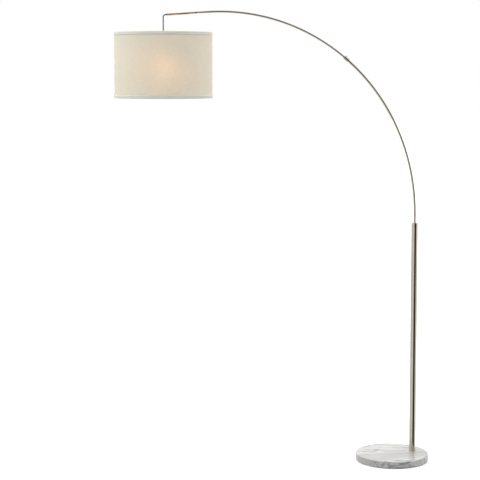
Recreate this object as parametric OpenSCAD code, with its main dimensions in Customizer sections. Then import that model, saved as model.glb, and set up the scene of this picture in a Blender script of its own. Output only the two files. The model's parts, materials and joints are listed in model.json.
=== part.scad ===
// Arc floor lamp: a marble disc, an upright post, a curved tube arm in two lengths,
// and a drum shade that hangs from the arm's tip on its own cord.
// Millimetres, +Z up. The arm's curve lies in the XZ plane and the shade hangs toward -X.
// The origin is the centre of the lamp's underside, on the floor.

/* [Base] */
// Diameter of the marble disc
base_d = 300; // [250:5:400]
// Thickness of the marble disc
marble_t = 27; // [25:1:45]
// Radius of the polished edge
edge_r = 2; // [0.5:0.5:4]
// Thickness of the felt pad under the marble
pad_t = 2; // [1:0.5:4]
// How far the pad stays back from the marble's edge
pad_inset = 9; // [5:1:25]
// Distance from the disc's centre to the post's axis
post_x = 92; // [60:1:100]
// Diameter of the recess under the post that hides the nut
recess_d = 40; // [38:1:60]
// Depth of that recess
recess_h = 16; // [15:0.5:18]
// Width and height of the groove that leads the cord out
groove_w = 9; // [7:0.5:12]
// Length of the rubber gland at the end of the groove
gland_l = 14; // [8:1:20]

/* [Threaded rod and nut] */
// Diameter of the hollow threaded rod
rod_d = 10; // [8:0.5:12]
// Bore of the hollow threaded rod
rod_bore_d = 6.6; // [5:0.2:7]
// How far the rod reaches into the post
rod_grip = 24; // [15:1:40]
// Width across the flats of the nut
nut_af = 17; // [15:0.5:22]
// Thickness of the nut
nut_t = 5; // [3:0.5:6]
// Diameter of the washer
washer_d = 32; // [24:1:36]
// Thickness of the washer
washer_t = 1.6; // [1:0.2:2.4]

/* [Post] */
// Outer diameter of the post
post_d = 27; // [22:0.5:40]
// Wall of the post
post_wall = 1.2; // [0.8:0.1:2]
// Height of the post above the marble, its cap included
post_h = 960; // [700:10:1200]
// Thickness of the cap that shows on top of the post
cap_t = 2.4; // [1.5:0.1:5]
// Length of the cap inside the post
cap_plug_l = 28; // [15:1:50]
// Length of the plug in the post's foot
foot_plug_l = 30; // [26:1:60]

/* [Arm] */
// Radius of the arm's curve
arc_r = 823; // [600:1:1000]
// Angle that the curve turns through, from upright
arc_sweep = 94.3; // [91:0.1:100]
// Straight length between the post and the curve
arm_rise = 35; // [10:1:80]
// Straight length at the tip
tip_l = 168; // [60:1:260]
// Outer diameter of the lower tube
lower_d = 10; // [9:0.5:16]
// Wall of the lower tube
lower_wall = 0.9; // [0.7:0.1:1.5]
// Wall of the upper tube, which slides into the lower one
upper_wall = 1; // [0.7:0.1:1.5]
// Angle of the curve at which the two tubes join
joint_at = 51; // [30:0.1:60]
// Length of upper tube inside the lower one
insert_l = 60; // [30:1:120]
// Length of the ferrule over the joint
ferrule_l = 22; // [16:1:40]
// Wall of the ferrule over the lower tube
ferrule_wall = 2.2; // [1:0.1:3]
// Diameter of the set screw's head
set_head_d = 5; // [3:0.5:7]
// Height of the set screw's head
set_head_h = 2.6; // [1:0.1:4]
// Diameter of the set screw's shank
set_shank_d = 3; // [2:0.5:4]

/* [Swivel inside the post] */
// Length of arm that reaches down inside the post
foot_l = 150; // [80:1:250]
// Length of the lower bush
bush_l = 24; // [12:1:40]
// Height of the collar fixed on the arm
collar_l = 12; // [8:1:20]
// Wall of that collar
collar_wall = 4; // [3:0.5:5]
// Thickness of the nylon washer that the collar turns on
thrust_t = 1; // [0.6:0.1:2]

/* [Cord] */
// Diameter of the cord
cord_d = 4.4; // [2.4:0.1:4.6]
// Radius of the cord's bends
cord_bend_r = 9; // [6:0.5:9]
// Height from the arm's tip down to the shade's rim
cord_drop = 68; // [50:1:300]

/* [Shade] */
// Diameter of the shade over its fabric
shade_d = 381; // [280:1:500]
// Height of the shade
shade_h = 254; // [190:1:360]
// Thickness of the linen
fabric_t = 0.5; // [0.3:0.1:1]
// Thickness of the stiff liner behind the linen
liner_t = 0.5; // [0.3:0.1:1]
// Diameter of the wire in the shade's rings
wire_d = 3; // [2:0.2:5]
// Height of the tape round each rim
tape_h = 11.5; // [6:0.5:20]
// Thickness of the tape
tape_t = 0.6; // [0.3:0.1:1]
// How far the tape is turned in behind the ring
tape_fold = 7; // [4:0.5:12]
// Depth of the fitter ring below the shade's rim
fitter_drop = 45; // [40:1:60]
// Bend radius of the fitter's spokes
spoke_bend_r = 9; // [5:1:20]

/* [Lamp holder] */
// Outer diameter of the holder's threaded body
holder_d = 38; // [36:0.5:44]
// Wall of the holder's body
holder_wall = 3.4; // [3:0.1:3.6]
// Length of the threaded body below the fitter ring
holder_l = 30; // [28:1:36]
// Height of the holder's cap
holder_cap_h = 24; // [22:1:32]
// Thickness of the fitter ring
fitter_t = 1.6; // [1:0.2:3]
// Width of the fitter ring's band
fitter_w = 5; // [4:0.5:8]
// Height of the ring that clamps the shade
clamp_h = 8; // [5:0.5:12]
// Diameter of the brass screw shell's inside
screw_shell_d = 27.4; // [27:0.1:28]
// Wall of the brass screw shell
screw_shell_wall = 0.5; // [0.3:0.1:0.8]

/* [Bulb] */
// Diameter of the bulb's globe
bulb_d = 60; // [50:1:80]
// Diameter over the bulb's screw thread
bulb_thread_d = 26.6; // [26:0.1:27]
// Height of the bulb's plastic body
bulb_body_h = 37; // [25:1:50]
// Wall of the bulb's shells
bulb_wall = 1.4; // [1:0.1:2]

/* [Hidden] */
// Clearance between pieces that slide together and then stay put
slip = 0.1;
// Radial clearance of the swivel's running fits
run = 0.05;
// Clearance between pieces that move past each other
free_gap = 0.3;
// Amount by which a cutting tool runs past the face it cuts
over = 1;
// A straight length of cord starts this far inside the curved one, and is a hair thinner. Beside a
// tight bend it starts less far inside, so that it stays within the curve
lap = 1;
bend_lap = 0.2;
hair = 0.02;
// Sides of the polygons that stand for round sections and large circles
wire_n = 24;
round_n = 48;
ring_n = 144;
arc_n = 360;

base_top = pad_t + marble_t;
post_r = post_d / 2;
post_bore_r = post_r - post_wall;
post_top = base_top + post_h;
plug_r = post_bore_r - slip;

recess_top = pad_t + recess_h;
washer_z = recess_top - washer_t;
nut_z = washer_z - nut_t;
rod_z = nut_z - 1;
rod_r = rod_d / 2;
rod_hole_r = rod_r + 0.5;
cord_r = cord_d / 2;
gland_r = groove_w / 2 - slip;
gland_flange_r = gland_r + 0.8;
gland_flange_t = 2;
gland_x = base_d / 2 - gland_l;
gland_z = pad_t + groove_w / 2;

lower_r = lower_d / 2;
lower_bore_r = lower_r - lower_wall;
upper_r = lower_bore_r - slip;
upper_bore_r = upper_r - upper_wall;
arc_x = post_x - arc_r;
arc_z = post_top + arm_rise;
arm_foot_z = post_top - foot_l;
bush_z = arm_foot_z + 6;
thrust_z = bush_z + bush_l;
collar_z = thrust_z + thrust_t;
ferrule_r = lower_r + ferrule_wall;
ferrule_half = ferrule_l / 2 / arc_r * 180 / PI;
insert_deg = insert_l / arc_r * 180 / PI;
set_deg = 0.55 * ferrule_half;
// Angle by which a cut along the arm's curve runs past what it cuts
over_deg = 0.5;

tip_dip = arc_sweep - 90;
tip_pos = [
    arc_x + arc_r * cos(arc_sweep) - tip_l * sin(arc_sweep),
    0,
    arc_z + arc_r * sin(arc_sweep) + tip_l * cos(arc_sweep)
];
bend_turn = 90 - tip_dip;
bend_end_out = cord_bend_r * (cos(bend_turn) - 1);
bend_end_along = cord_bend_r * sin(bend_turn) + free_gap;
drop_x = tip_pos.x + bend_end_out * cos(arc_sweep) - bend_end_along * sin(arc_sweep);
drop_z = tip_pos.z + bend_end_out * sin(arc_sweep) + bend_end_along * cos(arc_sweep);
// The hanging cord swings about the middle of its rounded end, just under the bend
swing_z = drop_z - free_gap - cord_r;
shade_z = tip_pos.z - cord_drop;

shade_r = shade_d / 2;
liner_r = shade_r - fabric_t;
liner_in_r = liner_r - liner_t;
wire_r = wire_d / 2;
hoop_r = liner_in_r - slip - wire_r;
tape_in_r = hoop_r - wire_r - slip;

holder_r = holder_d / 2;
holder_bore_r = holder_r - holder_wall;
fitter_in_r = holder_r + free_gap;
fitter_out_r = fitter_in_r + fitter_w;
// The flange and the clamp ring grip the fitter ring inside the spokes' welds
grip_out_r = fitter_out_r - 1;
spoke_weld = 0.5;
flange_z = fitter_t / 2;
flange_t = 3;
spigot_h = 4;
cap_z = flange_z + flange_t;
cap_top = cap_z + holder_cap_h;
cap_wall = 1.5;
cap_r = holder_r + 0.5;
cap_spigot_r = cap_r - cap_wall - slip;
grip_thread_r = 5;
grip_r = 7.5;
grip_h = 11;
grip_top = cap_top + grip_h;
core_z = -6;
core_h = 16;
core_top = core_z + core_h;
core_r = holder_bore_r - slip;
terminal_x = 9;
terminal_r = 1.5;
pin_r = 1.8;
shell_r = screw_shell_d / 2;
shell_z = -holder_l + 2;
bulb_z = -holder_l - 1;
bulb_thread_r = bulb_thread_d / 2;
bulb_thread_h = 18;
spring_t = 0.6;
spring_z = core_z - 1.9;
bulb_tip_z = spring_z - 0.4;
bulb_contact_h = 1.2;
bulb_contact_r = 5;
bulb_neck_r = bulb_thread_r + 0.8;
bulb_r = bulb_d / 2;
globe_cut = bulb_z - bulb_body_h;
globe_z = globe_cut - 0.4 * bulb_r;
globe_cut_r = sqrt(bulb_r * bulb_r - pow(globe_cut - globe_z, 2));

// Points of a quarter round: centre c, radius r, from angle a0 to a1
function quarter(c, r, a0, a1, n = 5) =
    [for (i = [0:n]) let (a = a0 + (a1 - a0) * i / n) [c.x + r * cos(a), c.y + r * sin(a)]];

// A plain tube or ring along Z
module ring(r_out, r_in, h, n = round_n) {
    difference() {
        cylinder(r = r_out, h = h, $fn = n);
        translate([0, 0, -over])
            cylinder(r = r_in, h = h + 2 * over, $fn = n);
    }
}

// Places things at an angle of the arm's curve: Z runs along the arm, X points outward
module on_arc(angle) {
    translate([arc_x, 0, arc_z])
        rotate([90, 0, 0])
            rotate([0, 0, angle])
                translate([arc_r, 0, 0])
                    rotate([-90, 0, 0])
                        children();
}

// A round bar along the arm's curve
module arc_bar(r, from, to) {
    translate([arc_x, 0, arc_z])
        rotate([90, 0, 0])
            rotate([0, 0, from])
                rotate_extrude(angle = to - from, $fn = arc_n)
                    translate([arc_r, 0])
                        circle(r = r, $fn = round_n);
}

module at_post(z) {
    translate([post_x, 0, z])
        children();
}

module at_tip() {
    on_arc(arc_sweep)
        translate([0, 0, tip_l])
            children();
}

// Height is measured from the shade's upper rim
module at_shade(z = 0) {
    translate([drop_x, 0, shade_z + z])
        children();
}

// Height is measured from the fitter ring
module at_holder(z = 0) {
    at_shade(z - fitter_drop)
        children();
}

// A disc or short cylinder with a rolled thread on its outside
module threaded(r_root, r_crest, h, pitch) {
    turns = floor(h / pitch);
    step = h / turns;
    rotate_extrude($fn = round_n)
        polygon(concat(
            [[0, 0]],
            [for (i = [0:turns - 1]) each [
                [r_root, i * step],
                [r_crest, (i + 0.5) * step]
            ]],
            [[r_root, h], [0, h]]
        ));
}

module marble_base() {
    r = base_d / 2;
    color("whitesmoke")
    difference() {
        translate([0, 0, pad_t])
            rotate_extrude($fn = ring_n)
                polygon(concat(
                    [[0, 0]],
                    quarter([r - edge_r, edge_r], edge_r, -90, 0),
                    quarter([r - edge_r, marble_t - edge_r], edge_r, 0, 90),
                    [[0, marble_t]]
                ));
        at_post(pad_t - over)
            cylinder(r = recess_d / 2, h = recess_h + over, $fn = ring_n);
        at_post(pad_t)
            cylinder(r = rod_hole_r, h = marble_t + over, $fn = round_n);
        translate([post_x, -groove_w / 2, pad_t - over])
            cube([r - post_x + over, groove_w, groove_w + over]);
    }
}

module base_pad() {
    color("dimgray")
    cylinder(r = base_d / 2 - pad_inset, h = pad_t, $fn = ring_n);
}

module base_washer() {
    color("silver")
    at_post(washer_z)
        ring(washer_d / 2, rod_r + slip, washer_t);
}

module base_nut() {
    color("silver")
    at_post(nut_z)
        difference() {
            cylinder(r = nut_af / 2 / cos(30), h = nut_t, $fn = 6);
            translate([0, 0, -over])
                cylinder(r = rod_r, h = nut_t + 2 * over, $fn = round_n);
        }
}

module threaded_rod() {
    color("goldenrod")
    at_post(rod_z)
        ring(rod_r, rod_bore_d / 2, base_top + rod_grip - rod_z);
}

module lead_gland() {
    color("black")
    translate([gland_x, 0, gland_z])
        rotate([0, 90, 0])
            difference() {
                union() {
                    cylinder(r = gland_r, h = gland_l, $fn = round_n);
                    translate([0, 0, gland_l])
                        cylinder(r = gland_flange_r, h = gland_flange_t, $fn = round_n);
                }
                translate([0, 0, -over])
                    cylinder(r = cord_r + slip, h = gland_l + gland_flange_t + 2 * over, $fn = round_n);
            }
}

module post_foot_plug() {
    color("gray")
    at_post(base_top)
        difference() {
            cylinder(r = plug_r, h = foot_plug_l, $fn = round_n);
            translate([0, 0, -over])
                cylinder(r = rod_r, h = foot_plug_l + 2 * over, $fn = round_n);
        }
}

module post_tube() {
    color("tan")
    at_post(base_top)
        ring(post_r, post_bore_r, post_h - cap_t, 2 * round_n);
}

module post_cap() {
    taper = 0.4;
    color("silver")
    at_post(post_top)
        difference() {
            union() {
                translate([0, 0, -cap_t])
                    cylinder(r1 = post_r, r2 = post_r - taper, h = cap_t, $fn = 2 * round_n);
                translate([0, 0, -cap_t - cap_plug_l])
                    cylinder(r = plug_r, h = cap_plug_l, $fn = round_n);
            }
            translate([0, 0, -cap_t - cap_plug_l - over])
                cylinder(r = lower_r + run, h = cap_t + cap_plug_l + 2 * over, $fn = round_n);
        }
}

module foot_bush() {
    color("ivory")
    at_post(bush_z)
        ring(plug_r, lower_r + run, bush_l);
}

module thrust_washer() {
    rim_room = 1;
    color("white")
    at_post(thrust_z)
        ring(plug_r - rim_room, lower_r + free_gap, thrust_t);
}

// The cord from the gland, up through the rod and the post, to the foot of the arm. It turns just
// above the pad and rises a little to the gland's middle
module base_lead() {
    turn_z = pad_t + free_gap + cord_r + cord_bend_r;
    out = gland_x - post_x - cord_bend_r;
    down = turn_z - gland_z;
    run_l = sqrt(out * out + down * down - cord_bend_r * cord_bend_r);
    lean = atan2(cord_bend_r, run_l) - atan2(down, out);
    color("black")
    union() {
        at_post(turn_z)
            cylinder(r = cord_r, h = arm_foot_z - free_gap - turn_z, $fn = round_n);
        at_post(turn_z)
            translate([cord_bend_r, 0, 0])
                rotate([90, 0, 0])
                    rotate([0, 0, 180])
                        rotate_extrude(angle = 90 + lean, $fn = ring_n)
                            translate([cord_bend_r, 0])
                                circle(r = cord_r, $fn = round_n);
        at_post(turn_z)
            translate([cord_bend_r, 0, 0])
                rotate([0, -lean, 0])
                    translate([-bend_lap, 0, -cord_bend_r])
                        rotate([0, 90, 0])
                            cylinder(r = cord_r - hair, h = run_l + bend_lap, $fn = round_n);
    }
}

module arm_lower() {
    color("silver")
    difference() {
        union() {
            at_post(arm_foot_z)
                cylinder(r = lower_r, h = arc_z - arm_foot_z, $fn = round_n);
            arc_bar(lower_r, 0, joint_at);
        }
        at_post(arm_foot_z - over)
            cylinder(r = lower_bore_r, h = arc_z - arm_foot_z + over, $fn = round_n);
        arc_bar(lower_bore_r, 0, joint_at + over_deg);
    }
}

module arm_collar() {
    color("gray")
    at_post(collar_z)
        ring(lower_r + collar_wall, lower_r, collar_l);
}

module arm_ferrule() {
    color("tan")
    difference() {
        arc_bar(ferrule_r, joint_at - ferrule_half, joint_at + ferrule_half);
        arc_bar(lower_r, joint_at - ferrule_half - over_deg, joint_at);
        arc_bar(upper_r, joint_at - over_deg, joint_at + ferrule_half + over_deg);
        on_arc(joint_at + set_deg)
            rotate([0, 90, 0])
                cylinder(r = set_shank_d / 2, h = ferrule_r + over, $fn = round_n);
    }
}

module arm_set_screw() {
    shank = ferrule_r - upper_r + 0.2;
    head_r = set_head_d / 2;
    head_taper = 0.5;
    slot_w = 0.8;
    slot_h = 1;
    color("silver")
    on_arc(joint_at + set_deg)
        rotate([0, 90, 0])
            translate([0, 0, upper_r])
                difference() {
                    union() {
                        cylinder(r = set_shank_d / 2 - slip, h = shank, $fn = round_n);
                        translate([0, 0, shank])
                            cylinder(r1 = head_r, r2 = head_r - head_taper, h = set_head_h, $fn = round_n);
                    }
                    translate([-set_head_d, -slot_w / 2, shank + set_head_h - slot_h])
                        cube([2 * set_head_d, slot_w, slot_h + over]);
                }
}

module arm_upper() {
    span = arc_sweep - joint_at + insert_deg;
    color("silver")
    on_arc(arc_sweep)
        union() {
            translate([-arc_r, 0, 0])
                rotate([90, 0, 0])
                    mirror([0, 1, 0])
                        rotate_extrude(angle = span, $fn = arc_n)
                            translate([arc_r, 0])
                                difference() {
                                    circle(r = upper_r, $fn = round_n);
                                    circle(r = upper_bore_r, $fn = round_n);
                                }
            ring(upper_r, upper_bore_r, tip_l);
        }
}

module tip_bush() {
    bush = 8;
    lip = 0.5;
    color("black")
    at_tip()
        translate([0, 0, -bush - lip])
            ring(upper_bore_r, cord_r, bush);
}

// The cord inside the arm. Its straight end starts inside the curved part and is a hair thinner
module arm_lead() {
    color("black")
    union() {
        at_post(arm_foot_z)
            cylinder(r = cord_r, h = arc_z - arm_foot_z, $fn = round_n);
        arc_bar(cord_r, 0, arc_sweep);
        on_arc(arc_sweep)
            translate([0, 0, -lap])
                cylinder(r = cord_r - hair, h = tip_l + lap, $fn = round_n);
    }
}

// The short length that turns down as the cord leaves the arm's tip
module cord_bend() {
    color("black")
    at_tip()
        translate([-cord_bend_r, 0, free_gap])
            rotate([90, 0, 0])
                rotate_extrude(angle = bend_turn, $fn = ring_n)
                    translate([cord_bend_r, 0])
                        circle(r = cord_r, $fn = round_n);
}

// The hanging length. Its upper end is a half ball, so it clears the bend as it swings
module pendant_cord() {
    lowest = shade_z - fitter_drop + grip_top + free_gap;
    straight = swing_z - lowest;
    color("black")
    translate([drop_x, 0, lowest])
        rotate_extrude($fn = round_n)
            polygon(concat(
                [[0, 0], [cord_r, 0]],
                quarter([0, straight], cord_r, 0, 90, 8)
            ));
}

module cord_grip() {
    stem = 8;
    crown_r = 3;
    color("black")
    at_holder(cap_top - stem)
        difference() {
            union() {
                cylinder(r = grip_thread_r, h = stem, $fn = round_n);
                translate([0, 0, stem])
                    rotate_extrude($fn = round_n)
                        polygon(concat(
                            [[0, 0], [grip_r, 0]],
                            quarter([grip_r - crown_r, grip_h - crown_r], crown_r, 0, 90),
                            [[0, grip_h]]
                        ));
            }
            translate([0, 0, -over])
                cylinder(r = cord_r, h = stem + grip_h + 2 * over, $fn = round_n);
        }
}

module holder_cap() {
    shoulder = holder_cap_h * 0.6;
    round_in = 2;
    round_up = 4;
    neck_r = grip_r + 2;
    edge = 1;
    // How much lower the inside turns at a corner, so that the sloping wall keeps its thickness
    turn = 0.6;
    color("silver")
    at_holder(cap_z)
        rotate_extrude($fn = 2 * round_n)
            polygon([
                [cap_r, 0],
                [cap_r, shoulder],
                [cap_r - round_in, shoulder + round_up],
                [neck_r, holder_cap_h - edge],
                [neck_r - edge, holder_cap_h],
                [grip_thread_r + slip, holder_cap_h],
                [grip_thread_r + slip, holder_cap_h - cap_wall],
                [neck_r - edge, holder_cap_h - cap_wall - turn],
                [cap_r - round_in - cap_wall, shoulder + round_up - turn],
                [cap_r - cap_wall, shoulder - turn],
                [cap_r - cap_wall, 0]
            ]);
}

// The cord's last length, inside the grip, and its two cores running to the terminals
module holder_lead() {
    drop = 9;
    wire_w = 0.8;
    wire_x = 0.6;
    sunk = 0.4;
    // The wires end beside the screws' heads, just above the core
    lean = atan2(terminal_x - 3, drop - 2.5);
    reach = (drop - 3) / cos(lean);
    color("black")
    at_holder(core_top + drop)
        union() {
            cylinder(r = cord_r, h = grip_top - core_top - drop, $fn = round_n);
            for (side = [-1, 1])
                translate([side * wire_x, 0, sunk])
                    rotate([0, 180 - side * lean, 0])
                        cylinder(r = wire_w, h = reach, $fn = round_n);
        }
}

module holder_body() {
    thread_h = holder_l + flange_z;
    thread_deep = 0.7;
    pitch = 2.5;
    color("black")
    at_holder()
        difference() {
            union() {
                translate([0, 0, -holder_l])
                    threaded(holder_r - thread_deep, holder_r, thread_h, pitch);
                translate([0, 0, flange_z])
                    cylinder(r = grip_out_r, h = flange_t, $fn = 2 * round_n);
                translate([0, 0, cap_z])
                    cylinder(r = cap_spigot_r, h = spigot_h, $fn = 2 * round_n);
            }
            translate([0, 0, -holder_l - over])
                cylinder(r = holder_bore_r, h = 3 * holder_l, $fn = round_n);
        }
}

module holder_core() {
    screw_hole_h = 7;
    pin_hole_h = 4;
    color("whitesmoke")
    at_holder(core_z)
        difference() {
            cylinder(r = core_r, h = core_h, $fn = round_n);
            for (side = [-1, 1])
                translate([side * terminal_x, 0, core_h - screw_hole_h])
                    cylinder(r = terminal_r + slip, h = screw_hole_h + over, $fn = round_n);
            translate([0, 0, -over])
                cylinder(r = pin_r + 2 * slip, h = pin_hole_h + over, $fn = round_n);
        }
}

module terminal_screws() {
    shank = 6;
    head_r = 3;
    head_h = 2;
    slot_w = 0.8;
    slot_h = 0.8;
    color("goldenrod")
    at_holder(core_top)
        for (side = [-1, 1])
            translate([side * terminal_x, 0, 0])
                difference() {
                    union() {
                        translate([0, 0, -shank])
                            cylinder(r = terminal_r, h = shank, $fn = round_n);
                        cylinder(r = head_r, h = head_h, $fn = round_n);
                    }
                    translate([-head_r - over, -slot_w / 2, head_h - slot_h])
                        cube([2 * (head_r + over), slot_w, slot_h + over]);
                }
}

// A pin through the core's end, and the sprung disc under it that the bulb presses on
module centre_contact() {
    pin_h = 3;
    disc_r = 4;
    post_w = 1.2;
    color("gold")
    at_holder()
        union() {
            translate([0, 0, core_z - spring_t])
                cylinder(r = pin_r, h = pin_h + spring_t, $fn = round_n);
            translate([0, 0, spring_z])
                cylinder(r = disc_r, h = spring_t, $fn = round_n);
            translate([0, 0, spring_z])
                cylinder(r = post_w, h = core_z - spring_z, $fn = round_n);
        }
}

module screw_shell() {
    top_z = core_z - spring_t;
    contact_hole_r = 6;
    color("gold")
    at_holder()
        difference() {
            translate([0, 0, shell_z])
                cylinder(r = shell_r + screw_shell_wall, h = core_z - shell_z, $fn = round_n);
            translate([0, 0, shell_z - over])
                cylinder(r = shell_r, h = top_z - shell_z + over, $fn = round_n);
            translate([0, 0, shell_z])
                cylinder(r = contact_hole_r, h = holder_l, $fn = round_n);
        }
}

module shade_clamp_ring() {
    grips = 12;
    groove_r = 2.4;
    groove_deep = 1;
    color("black")
    at_holder(-fitter_t / 2 - clamp_h)
        difference() {
            ring(grip_out_r, holder_r + slip, clamp_h, 2 * round_n);
            for (i = [0:grips - 1])
                rotate([0, 0, 360 * i / grips])
                    translate([grip_out_r + groove_r - groove_deep, 0, -over])
                        cylinder(r = groove_r, h = clamp_h + 2 * over, $fn = round_n);
        }
}

module bulb_contact() {
    rounding = 1;
    color("silver")
    at_holder(bulb_tip_z - bulb_contact_h)
        cylinder(r1 = bulb_contact_r, r2 = bulb_contact_r - rounding, h = bulb_contact_h, $fn = round_n);
}

module bulb_insulator() {
    top = bulb_tip_z - bulb_contact_h;
    bottom = bulb_z + bulb_thread_h;
    shoulder_r = 11.5;
    top_r = bulb_contact_r + 0.4;
    color("black")
    at_holder(bottom)
        cylinder(r1 = shoulder_r, r2 = top_r, h = top - bottom, $fn = round_n);
}

module bulb_cap() {
    thread_deep = 0.8;
    pitch = 3.6;
    color("silver")
    at_holder(bulb_z)
        threaded(bulb_thread_r - thread_deep, bulb_thread_r, bulb_thread_h, pitch);
}

module bulb_body() {
    rim_r = globe_cut_r + 0.6;
    rim_h = 3;
    waist_r = bulb_neck_r + 2;
    waist = bulb_body_h * 0.75;
    edge = 1;
    // The sloping wall is cut level, so its width is more than its thickness
    slope = 1.3;
    color("white")
    at_holder(bulb_z - bulb_body_h)
        rotate_extrude($fn = 2 * round_n)
            polygon([
                [rim_r, 0],
                [rim_r, rim_h],
                [waist_r, waist],
                [bulb_neck_r, bulb_body_h - 2 * edge],
                [bulb_neck_r - edge, bulb_body_h],
                [0, bulb_body_h],
                [0, bulb_body_h - bulb_wall],
                [bulb_neck_r - bulb_wall - edge, bulb_body_h - bulb_wall],
                [waist_r - slope * bulb_wall, waist],
                [rim_r - bulb_wall, rim_h],
                [rim_r - bulb_wall, 0]
            ]);
}

// The lamp's light source: small square packages round a disc of board
module bulb_board() {
    board_r = globe_cut_r - bulb_wall - 1;
    board_t = 1.4;
    lift = 0.2;
    leds = 9;
    led_w = 2.8;
    led_h = 0.7;
    color("gainsboro")
    at_holder(globe_cut + lift)
        union() {
            cylinder(r = board_r, h = board_t, $fn = round_n);
            for (i = [0:leds - 1])
                rotate([0, 0, 360 * i / leds])
                    translate([board_r * 0.68 - led_w / 2, -led_w / 2, -led_h])
                        cube([led_w, led_w, led_h + board_t / 2]);
        }
}

module bulb_globe() {
    color("white")
    at_holder(globe_z)
        difference() {
            sphere(r = bulb_r, $fn = 2 * round_n);
            sphere(r = bulb_r - bulb_wall, $fn = 2 * round_n);
            translate([0, 0, globe_cut - globe_z])
                cylinder(r = bulb_d, h = bulb_d, $fn = round_n);
        }
}

// The upper hoop, the fitter ring and the three spokes that join them, welded as one
module shade_frame() {
    spokes = 3;
    level = -fitter_drop;
    spoke_start = fitter_out_r - spoke_weld;
    run_end = hoop_r - spoke_bend_r;
    color("white")
    at_shade()
        union() {
            translate([0, 0, -wire_r])
                rotate_extrude($fn = ring_n)
                    translate([hoop_r, 0])
                        circle(r = wire_r, $fn = wire_n);
            translate([0, 0, level - fitter_t / 2])
                ring(fitter_out_r, fitter_in_r, fitter_t, 2 * round_n);
            for (i = [0:spokes - 1])
                rotate([0, 0, 360 * i / spokes]) {
                    translate([spoke_start, 0, level])
                        rotate([0, 90, 0])
                            cylinder(r = wire_r, h = run_end - spoke_start, $fn = wire_n);
                    translate([run_end, 0, level + spoke_bend_r])
                        rotate([90, 0, 0])
                            rotate([0, 0, -90])
                                rotate_extrude(angle = 90, $fn = ring_n)
                                    translate([spoke_bend_r, 0])
                                        circle(r = wire_r, $fn = wire_n);
                    translate([hoop_r, 0, level + spoke_bend_r])
                        cylinder(r = wire_r, h = fitter_drop - spoke_bend_r - wire_r, $fn = wire_n);
                }
        }
}

module shade_bottom_hoop() {
    color("white")
    at_shade(wire_r - shade_h)
        rotate_extrude($fn = ring_n)
            translate([hoop_r, 0])
                circle(r = wire_r, $fn = wire_n);
}

module shade_liner() {
    color("white")
    at_shade(-shade_h)
        ring(liner_r, liner_in_r, shade_h, ring_n);
}

module shade_fabric() {
    color("linen")
    at_shade(-shade_h)
        ring(shade_r, liner_r, shade_h, ring_n);
}

// Half of the rim: tape outside the fabric, over the edge and turned in behind the hoop
module rim_tape() {
    out_r = shade_r + slip;
    rotate_extrude($fn = ring_n)
        polygon([
            [out_r, -tape_h],
            [out_r + tape_t, -tape_h],
            [out_r + tape_t, slip + tape_t],
            [tape_in_r - tape_t, slip + tape_t],
            [tape_in_r - tape_t, -tape_fold],
            [tape_in_r, -tape_fold],
            [tape_in_r, slip],
            [out_r, slip]
        ]);
}

module shade_tape_top() {
    color("lightgray")
    at_shade()
        rim_tape();
}

module shade_tape_bottom() {
    color("lightgray")
    at_shade(-shade_h)
        mirror([0, 0, 1])
            rim_tape();
}

marble_base();
base_pad();
base_washer();
base_nut();
threaded_rod();
lead_gland();
post_foot_plug();
post_tube();
post_cap();
foot_bush();
thrust_washer();
base_lead();
arm_lower();
arm_collar();
arm_ferrule();
arm_set_screw();
arm_upper();
tip_bush();
arm_lead();
cord_bend();
pendant_cord();
cord_grip();
holder_cap();
holder_lead();
holder_body();
holder_core();
terminal_screws();
centre_contact();
screw_shell();
shade_clamp_ring();
bulb_contact();
bulb_insulator();
bulb_cap();
bulb_body();
bulb_board();
bulb_globe();
shade_frame();
shade_bottom_hoop();
shade_liner();
shade_fabric();
shade_tape_top();
shade_tape_bottom();
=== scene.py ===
# %% [markdown]
# # An arc floor lamp
# A marble disc holds an upright steel post. A thin bent tube leaves the post and carries a drum
# shade, which hangs from the tube's tip on its own cord. The metal, the marble and the inner pieces
# come from the engineering model and keep their shape here; this lesson gives each of them a real
# finish, and makes the cloth pieces that an engineering model leaves plain: the linen, its seam, the
# tapes round the rims and the felt under the base.

# %% Load the lamp
import math
import json

import bmesh
import bpy
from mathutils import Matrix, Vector


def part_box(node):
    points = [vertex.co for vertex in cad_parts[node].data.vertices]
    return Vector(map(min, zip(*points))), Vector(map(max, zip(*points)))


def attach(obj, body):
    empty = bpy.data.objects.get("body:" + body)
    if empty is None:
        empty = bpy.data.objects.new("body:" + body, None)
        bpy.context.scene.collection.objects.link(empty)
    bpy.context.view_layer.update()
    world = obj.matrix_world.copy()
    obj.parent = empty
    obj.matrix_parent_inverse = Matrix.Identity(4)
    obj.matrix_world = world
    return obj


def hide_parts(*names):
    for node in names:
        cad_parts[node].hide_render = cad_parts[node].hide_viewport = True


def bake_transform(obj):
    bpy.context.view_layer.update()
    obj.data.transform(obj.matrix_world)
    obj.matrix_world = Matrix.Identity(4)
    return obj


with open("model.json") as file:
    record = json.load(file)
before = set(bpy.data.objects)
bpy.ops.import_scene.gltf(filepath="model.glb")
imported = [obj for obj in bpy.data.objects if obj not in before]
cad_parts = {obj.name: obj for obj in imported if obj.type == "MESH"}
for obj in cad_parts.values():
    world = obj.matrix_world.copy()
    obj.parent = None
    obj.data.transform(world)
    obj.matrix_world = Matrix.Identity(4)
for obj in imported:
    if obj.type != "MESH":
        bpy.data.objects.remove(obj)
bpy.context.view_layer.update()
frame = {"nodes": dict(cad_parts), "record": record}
nodes = frame["nodes"]
scene = bpy.context.scene
MM = 0.001


# %% [markdown]
# ## Camera
# The lamp is seen from eye height, slightly from the side on which the shade hangs nearer. A long
# lens from far away keeps the post upright. The camera looks a little down and its lens is shifted
# down by a small share of the picture, as an architect's camera is, so that the post hardly leans.

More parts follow.
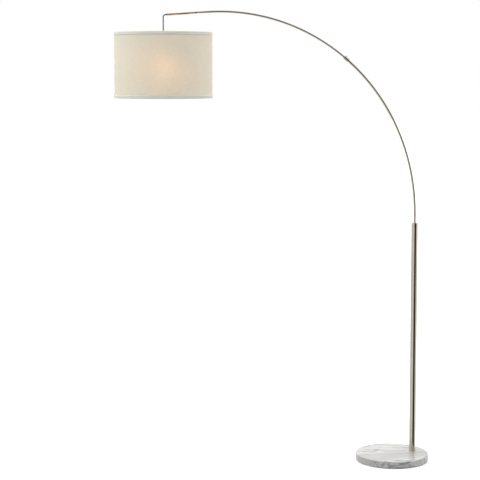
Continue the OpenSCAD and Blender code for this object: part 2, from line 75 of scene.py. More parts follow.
# %% Camera
CAMERA_TURN = math.radians(-16.0)  # round the lamp, from straight in front
CAMERA_AWAY = 5.647  # metres from the lamp's middle
CAMERA_HEIGHT = 1.609
CAMERA_DOWN = math.radians(5.0)
MIDDLE_X = -0.659  # where the lens axis crosses the plane of the arm
SENSOR = 36.0  # millimetres, full frame
LENS = 106.8

camera_data = bpy.data.cameras.new("camera")
camera_data.sensor_width = SENSOR
camera_data.lens = LENS
camera_data.shift_y = -0.0896
camera_data.clip_end = 60.0
camera = bpy.data.objects.new("camera", camera_data)
scene.collection.objects.link(camera)
camera.location = (
    MIDDLE_X + CAMERA_AWAY * math.sin(CAMERA_TURN),
    -CAMERA_AWAY * math.cos(CAMERA_TURN),
    CAMERA_HEIGHT,
)
camera.rotation_euler = (math.radians(90) - CAMERA_DOWN, 0, CAMERA_TURN)
scene.camera = camera
print("camera at", [round(v, 3) for v in camera.location])


# %% [markdown]
# ## Helpers for materials
# A material is a small graph of nodes. One function adds a node, sets what it needs and links its
# inputs, so every recipe below reads as a list of steps. Colours are written as the hex values that
# a paint chart gives, and one function turns them into the linear light that the renderer works in.

# %% Node and colour helpers
def linear(hex_colour):
    """The linear RGBA of an sRGB colour such as "#ded7c7"."""
    parts = [int(hex_colour[i : i + 2], 16) / 255 for i in (1, 3, 5)]
    return [p / 12.92 if p <= 0.04045 else ((p + 0.055) / 1.055) ** 2.4 for p in parts] + [1.0]


def add(tree, kind, inputs=None, **settings):
    """Adds one node. inputs gives each socket a value, or another node's output to link."""
    made = tree.nodes.new("ShaderNode" + kind)
    for name, value in settings.items():
        setattr(made, name, value)
    for socket, value in (inputs or {}).items():
        if isinstance(value, bpy.types.NodeSocket):
            tree.links.new(value, made.inputs[socket])
        else:
            made.inputs[socket].default_value = value
    return made


def ramp(tree, value, stops):
    """A colour ramp: stops are (place, hex colour), or (place, grey from 0 to 1)."""
    made = add(tree, "ValToRGB", {0: value})
    elements = made.color_ramp.elements
    while len(elements) < len(stops):
        elements.new(0.5)
    for element, (place, colour) in zip(elements, stops):
        element.position = place
        element.color = linear(colour) if isinstance(colour, str) else [colour] * 3 + [1.0]
    return made.outputs["Color"]


def new_material(name):
    """A material with an empty graph but for its output. Returns the material, graph and output."""
    made = bpy.data.materials.new(name)
    made.use_nodes = True
    made.node_tree.nodes.clear()
    out = add(made.node_tree, "OutputMaterial")
    return made, made.node_tree, out


def show(tree, out, shader):
    tree.links.new(shader.outputs[0], out.inputs["Surface"])


# %% [markdown]
# ## Satin nickel
# The post and the arm are steel tube, plated with nickel and brushed. Tube is brushed on a belt
# while it turns, so the scratches run round it, and light smears along the tube into clean upright
# streaks. The plate is a warm grey that mirrors about half of the light, and fine brushing leaves it
# fairly smooth. The scratches are a twentieth of a millimetre apart in the real finish; here they
# are drawn ten times coarser, or none would show.

# %% Satin nickel
def satin_nickel(name="satin_nickel", rough=0.13, scratch_mm=0.5):
    made, tree, out = new_material(name)
    place = add(tree, "TexCoord").outputs["Object"]
    # stretched across the tube's length, so that each scratch is a long thin mark round it
    stretched = add(tree, "Mapping", {0: place, "Scale": (6.0, 6.0, 1 / (scratch_mm * MM))})
    scratches = add(tree, "TexNoise", {"Vector": stretched.outputs[0], "Scale": 1.0, "Detail": 3.0})
    clouds = add(tree, "TexNoise", {"Vector": place, "Scale": 14.0, "Detail": 2.0})
    tone = ramp(tree, clouds.outputs["Fac"], [(0.3, "#c3bcab"), (0.7, "#cdc6b6")])
    both = add(
        tree,
        "Math",
        {0: scratches.outputs["Fac"], 1: 0.06, 2: rough - 0.03},
        operation="MULTIPLY_ADD",
    )
    bump = add(
        tree,
        "Bump",
        {"Strength": 0.08, "Distance": 0.02 * MM, "Height": scratches.outputs["Fac"]},
    )
    metal = add(
        tree,
        "BsdfPrincipled",
        {
            "Base Color": tone,
            "Metallic": 1.0,
            "Roughness": both.outputs[0],
            "Normal": bump.outputs[0],
        },
    )
    show(tree, out, metal)
    return made


# %% [markdown]
# ## Polished marble
# The base is a disc of white marble with soft grey veins that drift across it in long thin bands.
# Veins are old cracks that filled with darker minerals, so they branch, fade and never cross in a
# regular way. A noise that is bent by a second noise gives that: where its value passes through the
# middle there is a line, and a sharp fold of the value (one minus its distance from the middle)
# makes a thin dark thread with a soft halo. Polished stone has an IOR near 1.5 and is very smooth.

# %% Polished marble
def polished_marble(name="polished_marble"):
    made, tree, out = new_material(name)
    place = add(tree, "TexCoord").outputs["Object"]
    # the bands run along the arm, so the pattern is squeezed across it
    turned = add(
        tree, "Mapping", {0: place, "Rotation": (0.2, 0.1, 0.3), "Scale": (2.4, 15.0, 10.0)}
    )
    drift = add(tree, "TexNoise", {"Vector": turned.outputs[0], "Scale": 0.7, "Detail": 4.0})
    bent = add(
        tree,
        "VectorMath",
        {0: drift.outputs["Color"], 1: (1.9, 1.9, 1.9), 2: turned.outputs[0]},
        operation="MULTIPLY_ADD",
    ).outputs[0]

    def vein(scale, width):
        """1 where the bent noise passes its middle value, fading out over this width."""
        field = add(tree, "TexNoise", {"Vector": bent, "Scale": scale, "Detail": 6.0})
        away = add(tree, "Math", {0: field.outputs["Fac"], 1: 0.5}, operation="SUBTRACT")
        near = add(tree, "Math", {0: away.outputs[0]}, operation="ABSOLUTE")
        return add(
            tree,
            "MapRange",
            {"Value": near.outputs[0], "From Max": width, "To Min": 1.0, "To Max": 0.0},
            interpolation_type="SMOOTHERSTEP",
        ).outputs[0]

    # veins fade in and out along their length, where a slow noise lets them
    fading = add(tree, "TexNoise", {"Vector": bent, "Scale": 0.6, "Detail": 2.0})
    allowed = ramp(tree, fading.outputs["Fac"], [(0.42, 0.0), (0.62, 1.0)])
    clouds = add(tree, "TexNoise", {"Vector": bent, "Scale": 0.45, "Detail": 5.0})
    greys = [(0.36, "#9a9a99"), (0.48, "#ababaa"), (0.6, "#b8b8b6")]
    colour = ramp(tree, clouds.outputs["Fac"], greys)
    for share, dark in ((vein(0.6, 0.13), "#939494"), (vein(1.7, 0.05), "#868888")):
        amount = add(tree, "Math", {0: share, 1: allowed}, operation="MULTIPLY").outputs[0]
        colour = add(
            tree, "Mix", {0: amount, 6: colour, 7: linear(dark)}, data_type="RGBA"
        ).outputs[2]
    stone = add(
        tree,
        "BsdfPrincipled",
        {"Base Color": colour, "Roughness": 0.16, "IOR": 1.5},
    )
    show(tree, out, stone)
    return made


# %% [markdown]
# ## Linen
# The shade is wrapped in cream linen. Linen yarn is spun from long flax fibres that vary in
# thickness, so a plain weave of it shows slubs: short thick stretches that run along the thread,
# both round the shade and up it. Warp and weft here are 0.8 mm apart. Linen is matt, with a faint
# sheen from loose fibres, and it lets light through: behind it the stiff liner glows a warm peach
# when the bulb is lit. A shader for reflected light is mixed with one for light from behind.
# The weave is laid out by angle and height, as the cloth is, and so needs no unwrapping.

# %% Cloth coordinates
def cloth_place(tree, centre, radius):
    """Metres round the drum and metres up it, as a vector."""
    place = add(tree, "TexCoord").outputs["Object"]
    local = add(tree, "VectorMath", {0: place, 1: centre}, operation="SUBTRACT")
    axes = add(tree, "SeparateXYZ", {0: local.outputs[0]})
    angle = add(tree, "Math", {0: axes.outputs["Y"], 1: axes.outputs["X"]}, operation="ARCTAN2")
    along = add(tree, "Math", {0: angle.outputs[0], 1: radius}, operation="MULTIPLY")
    return add(
        tree, "CombineXYZ", {0: along.outputs[0], 1: axes.outputs["Z"], 2: 0.0}
    ).outputs[0]


# %% Linen
THREAD = 0.8 * MM


def threads(tree, cloth, direction):
    """One set of threads, as the height of a row of round yarns."""
    wander = add(tree, "TexNoise", {"Vector": cloth, "Scale": 260.0, "Detail": 2.0})
    pushed = add(
        tree,
        "VectorMath",
        {0: wander.outputs["Color"], 1: [0.35 * THREAD] * 3, 2: cloth},
        operation="MULTIPLY_ADD",
    )
    # a wave texture repeats every 2 pi / (20 x scale) of its coordinate
    return add(
        tree,
        "TexWave",
        {"Vector": pushed.outputs[0], "Scale": 2 * math.pi / 20 / THREAD},
        bands_direction=direction,
    ).outputs["Fac"]


def slubs(tree, cloth, length_mm, width_mm, upright):
    """Streaks along one set of threads: a noise stretched to a slub's length and width."""
    size = (width_mm, length_mm) if upright else (length_mm, width_mm)
    scaled = add(
        tree,
        "Mapping",
        {0: cloth, "Scale": (1 / (size[0] * MM), 1 / (size[1] * MM), 1.0)},
    )
    return add(
        tree, "TexNoise", {"Vector": scaled.outputs[0], "Scale": 1.0, "Detail": 2.0}
    ).outputs["Fac"]


def woven(name, centre, radius, light, dark, glow, through, gaps, sheen=0.15):
    """A plain weave: a light and a dark yarn colour, the dark one also painted into the hollows
    between raised threads as painted shade, a colour for light that passes it, the share of light
    that the yarn lets through, and the share of the cloth that is gaps between threads."""
    made, tree, out = new_material(name)
    cloth = cloth_place(tree, centre, radius)
    warp = threads(tree, cloth, "X")
    weft = threads(tree, cloth, "Y")
    over_under = add(tree, "Math", {0: warp, 1: weft}, operation="MAXIMUM").outputs[0]
    across = slubs(tree, cloth, 34.0, 1.6, upright=False)
    up = slubs(tree, cloth, 22.0, 1.8, upright=True)
    streaks = add(tree, "Math", {0: across, 1: up}, operation="ADD").outputs[0]
    mean = add(tree, "Math", {0: streaks, 1: 0.5}, operation="MULTIPLY").outputs[0]
    tone = ramp(tree, mean, [(0.38, dark), (0.6, light)])
    # painted shade: where neither thread rides high, the dips between threads take the dark yarn
    # colour
    shaded = add(
        tree,
        "Mix",
        {0: over_under, 6: linear(dark), 7: tone},
        data_type="RGBA",
    )
    height = add(
        tree, "Math", {0: streaks, 1: 0.6, 2: over_under}, operation="MULTIPLY_ADD"
    ).outputs[0]
    bump = add(tree, "Bump", {"Strength": 0.35, "Distance": 0.25 * MM, "Height": height})
    front = add(
        tree,
        "BsdfPrincipled",
        {
            "Base Color": shaded.outputs[2],
            "Roughness": 0.85,
            "IOR": 1.45,
            "Specular IOR Level": 0.2,
            "Sheen Weight": sheen,
            "Sheen Roughness": 0.5,
            "Normal": bump.outputs[0],
        },
    )
    back = add(tree, "BsdfTranslucent", {"Color": linear(glow), "Normal": bump.outputs[0]})
    yarn = add(tree, "MixShader", {0: through, 1: front.outputs[0], 2: back.outputs[0]})
    gap = add(tree, "BsdfTransparent")
    show(tree, out, add(tree, "MixShader", {0: gaps, 1: yarn.outputs[0], 2: gap.outputs[0]}))
    return made


# %% [markdown]
# ## Plain finishes
# The other pieces are small: moulded plastics, rubber, zinc-plated fasteners, brass contacts, glazed
# porcelain and white powder coat. Each is one shader whose colour, roughness and surface vary a
# little, because no moulding or plating is perfectly even.

# %% Moulded, plated and coated finishes
def finish(name, dark, light, rough, metal=0.0, ior=None, grain_mm=2.0, depth_mm=0.02, **more):
    """A solid finish: two nearby colours, a roughness that varies, and a fine relief."""
    made, tree, out = new_material(name)
    place = add(tree, "TexCoord").outputs["Object"]
    grain = add(tree, "TexNoise", {"Vector": place, "Scale": 1 / (grain_mm * MM), "Detail": 4.0})
    patches = add(tree, "TexNoise", {"Vector": place, "Scale": 25.0, "Detail": 2.0})
    tone = ramp(tree, patches.outputs["Fac"], [(0.35, dark), (0.65, light)])
    varied = add(
        tree,
        "Math",
        {0: patches.outputs["Fac"], 1: 0.12, 2: max(rough - 0.06, 0.02)},
        operation="MULTIPLY_ADD",
    )
    bump = add(
        tree,
        "Bump",
        {"Strength": 0.3, "Distance": depth_mm * MM, "Height": grain.outputs["Fac"]},
    )
    sockets = {
        "Base Color": tone,
        "Metallic": metal,
        "Roughness": varied.outputs[0],
        "Normal": bump.outputs[0],
        **more,
    }
    if ior is not None:
        sockets["IOR"] = ior
    show(tree, out, add(tree, "BsdfPrincipled", sockets))
    return made


def liner(name, colour="#f6f1e6", spread=0.02, onward=0.8):
    """Thin white styrene: it lets light through, partly spread and partly almost straight on."""
    made, tree, out = new_material(name)
    place = add(tree, "TexCoord").outputs["Object"]
    haze = add(tree, "TexNoise", {"Vector": place, "Scale": 300.0, "Detail": 3.0})
    rough = add(
        tree, "Math", {0: haze.outputs["Fac"], 1: 0.1, 2: 0.5}, operation="MULTIPLY_ADD"
    )
    front = add(
        tree,
        "BsdfPrincipled",
        {
            "Base Color": linear(colour),
            "Roughness": rough.outputs[0],
            "IOR": 1.55,
            "Transmission Weight": onward,
        },
    )
    back = add(tree, "BsdfTranslucent", {"Color": linear(colour)})
    show(tree, out, add(tree, "MixShader", {0: spread, 1: front.outputs[0], 2: back.outputs[0]}))
    return made


def lit_opal(name, colour, strength):
    """The bulb's frosted globe, lit from inside: an even warm white."""
    made, tree, out = new_material(name)
    place = add(tree, "TexCoord").outputs["Object"]
    frost = add(tree, "TexNoise", {"Vector": place, "Scale": 900.0, "Detail": 2.0})
    bump = add(
        tree, "Bump", {"Strength": 0.2, "Distance": 0.02 * MM, "Height": frost.outputs["Fac"]}
    )
    opal = add(
        tree,
        "BsdfPrincipled",
        {
            "Base Color": linear("#f2efe8"),
            "Roughness": 0.35,
            "IOR": 1.49,
            "Emission Color": linear(colour),
            "Emission Strength": strength,
            "Normal": bump.outputs[0],
        },
    )
    show(tree, out, opal)
    return made


# %% [markdown]
# ## Where the drum is
# The drum's axis, radius and rims come from the engineering model's own linen shell.

# %% Drum measures
low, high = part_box("shade_fabric")
DRUM_R = (high.y - low.y) / 2
DRUM_X = (high.x + low.x) / 2
RIM_TOP = high.z
RIM_LOW = low.z
drum_centre = (DRUM_X, 0.0, RIM_LOW)
liner_low, liner_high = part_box("shade_liner")
LINER_R = (liner_high.y - liner_low.y) / 2
print("drum radius", round(DRUM_R, 4), "height", round(RIM_TOP - RIM_LOW, 4))


# %% Make the materials
finishes = {
    "satin_nickel": satin_nickel(),
    "marble": polished_marble(),
    "linen": woven("cream_linen", drum_centre, DRUM_R, "#f2efe0", "#e6e3d1", "#ffdcb4", 0.02, 0.26),
    "tape": woven("cotton_tape", drum_centre, DRUM_R, "#e6e5dc", "#dad9cf", "#ffe0b8", 0.08, 0.02),
    "liner": liner("styrene_liner"),
    "felt": finish("pressed_felt", "#232323", "#303030", 0.95, ior=1.45, grain_mm=0.4, depth_mm=0.3),
    "zinc_steel": finish("zinc_plated_steel", "#b9b9b4", "#c9c9c6", 0.35, metal=1.0),
    "rubber": finish("moulded_rubber", "#0c0c0c", "#141414", 0.7, ior=1.5),
    "nylon": finish("natural_nylon", "#dcd8cb", "#e6e2d6", 0.45, ior=1.53),
    "cord": finish("black_pvc_cord", "#070707", "#0d0d0d", 0.4, ior=1.53),
    "black_plastic": finish("black_phenolic", "#0b0b0b", "#121212", 0.3, ior=1.55),
    "porcelain": finish("glazed_porcelain", "#e6e3da", "#efece4", 0.12, ior=1.5),
    "brass": finish("stamped_brass", "#c9a25a", "#d8b46c", 0.25, metal=1.0),
    "nickel_cap": finish("nickel_plated_cap", "#c4c0b6", "#d0ccc2", 0.22, metal=1.0),
    "white_plastic": finish("white_polycarbonate", "#e4e4e2", "#ececea", 0.3, ior=1.58),
    "led_board": finish("led_board_lacquer", "#e2e2de", "#ededea", 0.35, ior=1.5),
    "opal": lit_opal("lit_opal_globe", "#ffb877", 150.0),
    "white_wire": finish("white_powder_coat", "#dedcd6", "#e8e6e0", 0.45, ior=1.5, grain_mm=0.5),
}
slots = {s["node"]: s["material_slot"] for s in frame["record"]["subparts"]}
for name, node in nodes.items():
    node.data.materials.clear()
    node.data.materials.append(finishes[slots[name]])
    node.data.shade_smooth()
    node.data.set_sharp_from_angle(angle=math.radians(30))
print(len(finishes), "finishes on", len(nodes), "engineering pieces")


# %% [markdown]
# ## Turned cloth pieces
# The drum, its tapes and the felt disc are all round, so each is a closed outline carried round an
# axis, as on a lathe. A small wave may push each point outward, because cloth glued by hand round a
# wire is never a perfect circle.

# %% Piece and lathe helpers
AROUND = 288


def make_piece(name, points, faces, slot, body=None, replaces=(), crease=40):
    """A closed mesh with outward faces, smooth but for edges sharper than crease degrees."""
    mesh = bpy.data.meshes.new(name)
    mesh.from_pydata(points, [], faces)
    shape = bmesh.new()
    shape.from_mesh(mesh)
    bmesh.ops.recalc_face_normals(shape, faces=shape.faces)
    shape.to_mesh(mesh)
    shape.free()
    mesh.shade_smooth()
    mesh.set_sharp_from_angle(angle=math.radians(crease))
    mesh.materials.append(finishes[slot])
    piece = bpy.data.objects.new(name, mesh)
    scene.collection.objects.link(piece)
    if body:
        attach(piece, body)
    if replaces:
        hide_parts(*replaces)
    print(name, len(mesh.polygons), "faces")
    return piece


def lathe(name, outline, centre, body, slot, push=None, replaces=()):
    """Carries a closed outline of (radius, height) points round Z and makes it a piece."""
    points = []
    for i in range(AROUND):
        angle = 2 * math.pi * i / AROUND
        for r, z in outline:
            out = r + (push(angle, r, z) if push else 0.0)
            points.append((centre[0] + out * math.cos(angle), centre[1] + out * math.sin(angle), z))
    n = len(outline)
    faces = []
    for i in range(AROUND):
        j = (i + 1) % AROUND
        for k in range(n):
            m = (k + 1) % n
            faces.append((i * n + k, j * n + k, j * n + m, i * n + m))
    return make_piece(name, points, faces, slot, body, replaces)


def arc_points(r, z, radius, start, end, steps):
    """Points of a round stretch of an outline, in degrees."""
    angles = [math.radians(start + (end - start) * i / steps) for i in range(steps + 1)]
    return [(r + radius * math.cos(a), z + radius * math.sin(a)) for a in angles]


# %% [markdown]
# ## The linen drum
# Linen is laminated to the liner, wrapped round and lapped over itself at the back. It could be a
# plain tube, but a real one is out of round by a fraction of a millimetre, and that breaks up the
# light along its side. The wave below only pushes outward, so the linen never cuts the liner.

# %% Linen drum
def hand_glued(angle, r, z):
    """How far the linen stands off a true circle."""
    slow = 1 + math.sin(3 * angle + 0.7)
    quick = 1 + math.sin(11 * angle + 14 * (z - RIM_LOW))
    return (0.12 * slow + 0.05 * quick) * MM if r > LINER_R + 0.1 * MM else 0.0


ROWS = 24
heights = [RIM_LOW + (RIM_TOP - RIM_LOW) * i / ROWS for i in range(ROWS + 1)]
drum_outline = [(DRUM_R, z) for z in heights]
drum_outline += [(LINER_R + 0.02 * MM, z) for z in reversed(heights)]
lathe(
    "linen_drum",
    drum_outline,
    (DRUM_X, 0.0),
    "shade",
    "linen",
    push=hand_glued,
    replaces=["shade_fabric"],
)

# %% [markdown]
# ## The lapped seam
# Where the linen meets itself its free edge is turned under and glued down, which shows as a narrow
# upright strip, twice as thick as the rest. It faces away from the usual view, as it would in a
# room.

# %% Lapped seam
SEAM_ANGLE = math.radians(75)
SEAM_W = 9 * MM
SEAM_T = 0.45 * MM
SEAM_LIFT = 0.1 * MM  # glue under the strip
SEAM_TUCK = 2 * MM  # how far each end runs under a tape
SEAM_STEPS = 10
TAPE_H = RIM_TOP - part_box("shade_tape_top")[0].z


def seam_strip():
    """A strip on the drum's side with soft edges, from tape to tape."""
    bottom = RIM_LOW + TAPE_H - SEAM_TUCK
    top = RIM_TOP - TAPE_H + SEAM_TUCK
    points = []
    for i in range(ROWS + 1):
        z = bottom + (top - bottom) * i / ROWS
        for side in (1, 0):
            for k in range(SEAM_STEPS + 1):
                t = k / SEAM_STEPS
                angle = SEAM_ANGLE + (t - 0.5) * SEAM_W / DRUM_R
                swell = SEAM_T * min(1.0, 6 * min(t, 1 - t) + 0.15) * side
                r = DRUM_R + SEAM_LIFT + hand_glued(angle, DRUM_R, z) + swell
                points.append((DRUM_X + r * math.cos(angle), r * math.sin(angle), z))
    row = 2 * (SEAM_STEPS + 1)
    faces = []
    for i in range(ROWS):
        for k in range(SEAM_STEPS):
            a = i * row + k
            faces.append((a, a + 1, a + 1 + row, a + row))
            b = a + SEAM_STEPS + 1
            faces.append((b, b + row, b + 1 + row, b + 1))
        for k in (0, SEAM_STEPS):
            a, b = i * row + k, i * row + k + SEAM_STEPS + 1
            faces.append((a, a + row, b + row, b) if k == 0 else (a, b, b + row, a + row))
    for i in (0, ROWS):
        for k in range(SEAM_STEPS):
            a, b = i * row + k, i * row + k + SEAM_STEPS + 1
            faces.append((a, b, b + 1, a + 1) if i == 0 else (a, a + 1, b + 1, b))
    make_piece("linen_seam", points, faces, "linen", "shade")


seam_strip()

# %% [markdown]
# ## The rim tapes
# A strip of cotton tape is glued round the outside, rolled over the wire hoop and tucked in behind
# it. Its lower edge is folded under, so it is thicker there and casts the fine dark line that marks
# the tape off from the linen. The outline follows that path and is turned round the drum's axis.

# %% Rim tapes
TAPE_T = 0.55 * MM
inner_low, inner_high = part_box("shade_bottom_hoop")
HOOP_OUT = (inner_high.y - inner_low.y) / 2
WIRE_R = (inner_high.z - inner_low.z) / 2
HOOP_IN = HOOP_OUT - 2 * WIRE_R
TUCK = 7 * MM
HEM_H = 4.4  # millimetres
HEM_T = 0.45 * MM
TAPE_CLEAR = 0.35 * MM  # from the linen out to the tape's outside
CROWN_SQUASH = 0.42  # how flat the tape is rolled over the wire
CROWN_STEPS = 14


def tape_outline(rim, up):
    """The tape's section at a rim; up is 1 at the top of the drum and -1 at the bottom."""
    outer = DRUM_R + TAPE_CLEAR
    inner = HOOP_IN - 0.15 * MM
    crown = (outer - inner) / 2
    middle = (outer + inner) / 2
    # the hem: the lower edge folded under, with a pressed groove along its upper side
    path = [
        (outer + HEM_T * share, -TAPE_H + height * MM)
        for share, height in (
            (0.3, 0.0),
            (0.9, 0.25),
            (1.0, 0.7),
            (1.0, HEM_H - 0.7),
            (0.8, HEM_H - 0.2),
            (-0.6, HEM_H + 0.15),
            (-0.5, HEM_H + 0.5),
            (0.1, HEM_H + 1.1),
            (0.2, HEM_H + 2.5),
        )
    ]
    for a in [math.pi * i / CROWN_STEPS for i in range(CROWN_STEPS + 1)]:
        path.append((middle + crown * math.cos(a), crown * CROWN_SQUASH * (math.sin(a) - 1)))
    path.append((inner, -TUCK))
    thick = []
    for i, (r, z) in enumerate(path):
        before, after = path[max(i - 1, 0)], path[min(i + 1, len(path) - 1)]
        along = Vector((after[0] - before[0], after[1] - before[1])).normalized()
        thick.append((r + along.y * TAPE_T, z - along.x * TAPE_T))
    section = path + list(reversed(thick))
    return [(r, rim + up * z) for r, z in section]


def tape_wave(angle, r, z):
    """Glue and pull lines left as the straight tape is bent round the drum."""
    if r <= DRUM_R:
        return 0.0
    pull = 0.06 * math.sin(37 * angle) + 0.05 * math.sin(61 * angle + 1.3)
    return pull * MM + hand_glued(angle, DRUM_R, RIM_LOW)


for name, rim, up, hidden in (
    ("rim_tape_top", RIM_TOP, 1, "shade_tape_top"),
    ("rim_tape_bottom", RIM_LOW, -1, "shade_tape_bottom"),
):
    lathe(
        name,
        tape_outline(rim, up),
        (DRUM_X, 0.0),
        "shade",
        "tape",
        push=tape_wave,
        replaces=[hidden],
    )

# %% [markdown]
# ## The hanging cord
# The engineering model cuts the cord where its bodies meet. The real one is a single round sheath
# that leaves the tip of the arm, turns down through a small radius and drops to the grip. It is
# swept here in one piece.

# %% Hanging cord
cord_low, cord_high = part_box("pendant_cord")
CORD_R = (cord_high.x - cord_low.x) / 2
BEND_R = 9 * MM
ARM_SLOPE = math.radians(4.3)  # the arm's tip points this much below level
MOUTH_REACH = 0.2 * MM  # how far the sheath starts inside the arm's mouth
GRIP_REACH = 0.15 * MM  # how far it ends past its straight length, toward the grip
BEND_STEPS = 12
DROP_STEPS = 24
turn_x = cord_low.x + CORD_R + BEND_R
turn_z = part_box("cord_bend")[0].z


def tube(name, path, radius, slot, replaces, sides=20):
    """Sweeps a circle along a path that lies in the plane of the arm, with closed ends."""
    points = []
    for i, (x, z) in enumerate(path):
        before, after = path[max(i - 1, 0)], path[min(i + 1, len(path) - 1)]
        along = Vector((after[0] - before[0], after[1] - before[1])).normalized()
        for k in range(sides):
            angle = 2 * math.pi * k / sides
            across, out = radius * math.sin(angle), radius * math.cos(angle)
            points.append((x - along.y * out, across, z + along.x * out))
    faces = [tuple(range(sides)), tuple(reversed(range(len(points) - sides, len(points))))]
    for i in range(len(path) - 1):
        for k in range(sides):
            m = (k + 1) % sides
            faces.append((i * sides + k, (i + 1) * sides + k, (i + 1) * sides + m, i * sides + m))
    return make_piece(name, points, faces, slot, replaces=replaces, crease=50)


start = math.radians(90) - ARM_SLOPE
cord_path = [
    (turn_x + BEND_R * math.cos(a), turn_z + BEND_R * math.sin(a))
    for a in [math.pi - start * (1 - i / BEND_STEPS) for i in range(BEND_STEPS + 1)]
]
lead_in = Vector((math.cos(ARM_SLOPE), math.sin(ARM_SLOPE))) * MOUTH_REACH
cord_path.insert(0, (cord_path[0][0] + lead_in.x, cord_path[0][1] + lead_in.y))
cord_x = turn_x - BEND_R
for i in range(1, DROP_STEPS + 1):
    cord_path.append((cord_x, turn_z - (turn_z - cord_low.z) * i / DROP_STEPS))
cord_path.append((cord_x, cord_low.z - GRIP_REACH))
hanging_cord = tube("hanging_cord", cord_path, CORD_R, "cord", ("cord_bend", "pendant_cord"))
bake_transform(hanging_cord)
print("cord from", [round(v, 4) for v in cord_path[0]], "to", [round(v, 4) for v in cord_path[-1]])

# %% [markdown]
# ## The felt under the base
# A disc of pressed felt keeps the stone off the floor. Die-cut felt has a soft, slightly fuzzy edge,
# so its outline is rounded and its radius wanders by a fraction of a millimetre.

# %% Felt pad
felt_low, felt_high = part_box("base_pad")
felt_r = (felt_high.y - felt_low.y) / 2
felt_t = felt_high.z - felt_low.z
FELT_CORE = 0.5 * MM  # the lathe can't reach the axis, so the disc keeps a pinhole


def felt_edge(angle, r, z):
    """The slight wander of a die-cut edge."""
    return 0.15 * MM * math.sin(23 * angle) * math.sin(7 * angle + 1) if r > felt_r / 2 else 0.0


felt_outline = [(FELT_CORE, 0.0)]
felt_outline += arc_points(felt_r - felt_t / 2, felt_t / 2, felt_t / 2, -90, 90, 8)
felt_outline += [(FELT_CORE, felt_t)]
lathe(
    "felt_pad",
    felt_outline,
    (0.0, 0.0),
    "base",
    "felt",
    push=felt_edge,
    replaces=["base_pad"],
)

# %% [markdown]
# ## Floor and light
# The lamp stands on a plain white floor in a white studio. A bright wall stands behind it, soft
# boxes stand to its left and right, and the side where the camera stands is dark. That is what gives
# a round metal tube its look: two pale bands with a dark stripe between them. The studio is a sky
# whose brightness depends on the direction round the room; the camera itself sees it as plain white.

# %% Floor
FLOOR = 40.0  # metres from the middle to each edge
floor_mesh = bpy.data.meshes.new("floor")
floor_mesh.from_pydata(
    [(-FLOOR, -FLOOR, 0), (FLOOR, -FLOOR, 0), (FLOOR, FLOOR, 0), (-FLOOR, FLOOR, 0)],
    [],
    [(0, 1, 2, 3)],
)
floor = bpy.data.objects.new("floor", floor_mesh)
scene.collection.objects.link(floor)
made, tree, out = new_material("white_studio_floor")
place = add(tree, "TexCoord").outputs["Object"]
speck = add(tree, "TexNoise", {"Vector": place, "Scale": 3.0})
pale = ramp(tree, speck.outputs["Fac"], [(0.3, "#fafafa"), (0.7, "#fcfcfc")])
white = add(
    tree, "BsdfPrincipled", {"Base Color": pale, "Roughness": 0.9, "Specular IOR Level": 0.0}
)
dim = add(tree, "BsdfDiffuse", {"Color": linear("#808080")})
seen = add(tree, "LightPath").outputs["Is Camera Ray"]
show(tree, out, add(tree, "MixShader", {0: seen, 1: dim.outputs[0], 2: white.outputs[0]}))
floor_mesh.materials.append(made)
floor.visible_glossy = False

# %% Studio sky
ROOM_LIGHT = 2.3  # on matt surfaces
ROOM_SHINE = 1.0  # in metal
CEILING = 0.4
world = bpy.data.worlds.new("studio")
scene.world = world
world.use_nodes = True
sky = world.node_tree
sky.nodes.clear()
direction = add(sky, "TexCoord").outputs["Generated"]
# turned so that the middle of the gradient is the side where the camera stands
turned = add(
    sky,
    "VectorRotate",
    {"Vector": direction, "Angle": -CAMERA_TURN + math.radians(90)},
    rotation_type="Z_AXIS",
)
round_room = add(sky, "TexGradient", {0: turned.outputs[0]}, gradient_type="RADIAL")
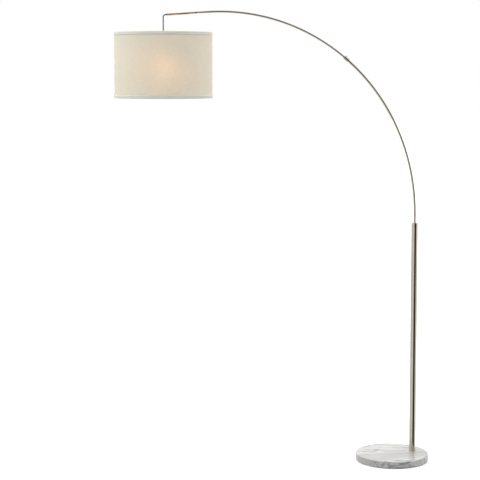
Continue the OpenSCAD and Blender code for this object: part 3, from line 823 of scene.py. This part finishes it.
# degrees from the camera's side, to its left (below 0) and right, and the brightness there
studio = [
    (-180, 0.95),
    (-120, 0.9),
    (-80, 0.8),
    (-38, 0.95),
    (-16, 0.7),
    (-6, 0.15),
    (8, 0.02),
    (46, 0.02),
    (58, 0.6),
    (71, 1.0),
    (120, 1.0),
    (180, 0.95),
]
walls = ramp(sky, round_room.outputs["Fac"], [(0.5 + turn / 360, grey) for turn, grey in studio])
# a bright band runs round the room above the walls, and the ceiling over it is dimmer
height = add(sky, "SeparateXYZ", {0: direction}).outputs["Z"]
steep = add(sky, "Math", {0: height}, operation="ABSOLUTE").outputs[0]
sines = [math.sin(math.radians(degrees)) for degrees in (30, 42, 50, 62)]
upper = ramp(sky, steep, [(sines[2], 1.0), (sines[3], CEILING)])
above = ramp(sky, steep, [(sines[0], 0.0), (sines[1], 1.0)])
room = add(sky, "Mix", {0: above, 6: walls, 7: upper}, data_type="RGBA").outputs[2]
path = add(sky, "LightPath")
# the panels look less bright in the metal than their light on matt surfaces would have them
strength = add(
    sky,
    "MapRange",
    {"Value": path.outputs["Is Glossy Ray"], "To Min": ROOM_LIGHT, "To Max": ROOM_SHINE},
).outputs[0]
light = add(sky, "Background", {"Color": room, "Strength": strength})
backdrop = add(sky, "Background", {"Color": (1.0, 1.0, 1.0, 1.0), "Strength": 1.0})
mixed = add(
    sky,
    "MixShader",
    {0: path.outputs["Is Camera Ray"], 1: light.outputs[0], 2: backdrop.outputs[0]},
)
sky.links.new(mixed.outputs[0], add(sky, "OutputWorld").inputs["Surface"])
scene.view_settings.view_transform = "Standard"


# %% [markdown]
# ## Soft boxes
# Area lights are large glowing panels. One from above lights the marble and the rim of the shade.

# %% Soft boxes
def soft_box(name, place, target, size, watts):
    data = bpy.data.lights.new(name, "AREA")
    data.shape = "RECTANGLE"
    data.size, data.size_y = size
    data.energy = watts
    lamp = bpy.data.objects.new(name, data)
    scene.collection.objects.link(lamp)
    lamp.location = place
    lamp.rotation_euler = (Vector(target) - Vector(place)).to_track_quat("-Z", "Y").to_euler()
    lamp.visible_camera = False


soft_box("top_box", (-0.4, 0.4, 4.6), (-0.4, 0, 0), (3.0, 3.0), 5.0)
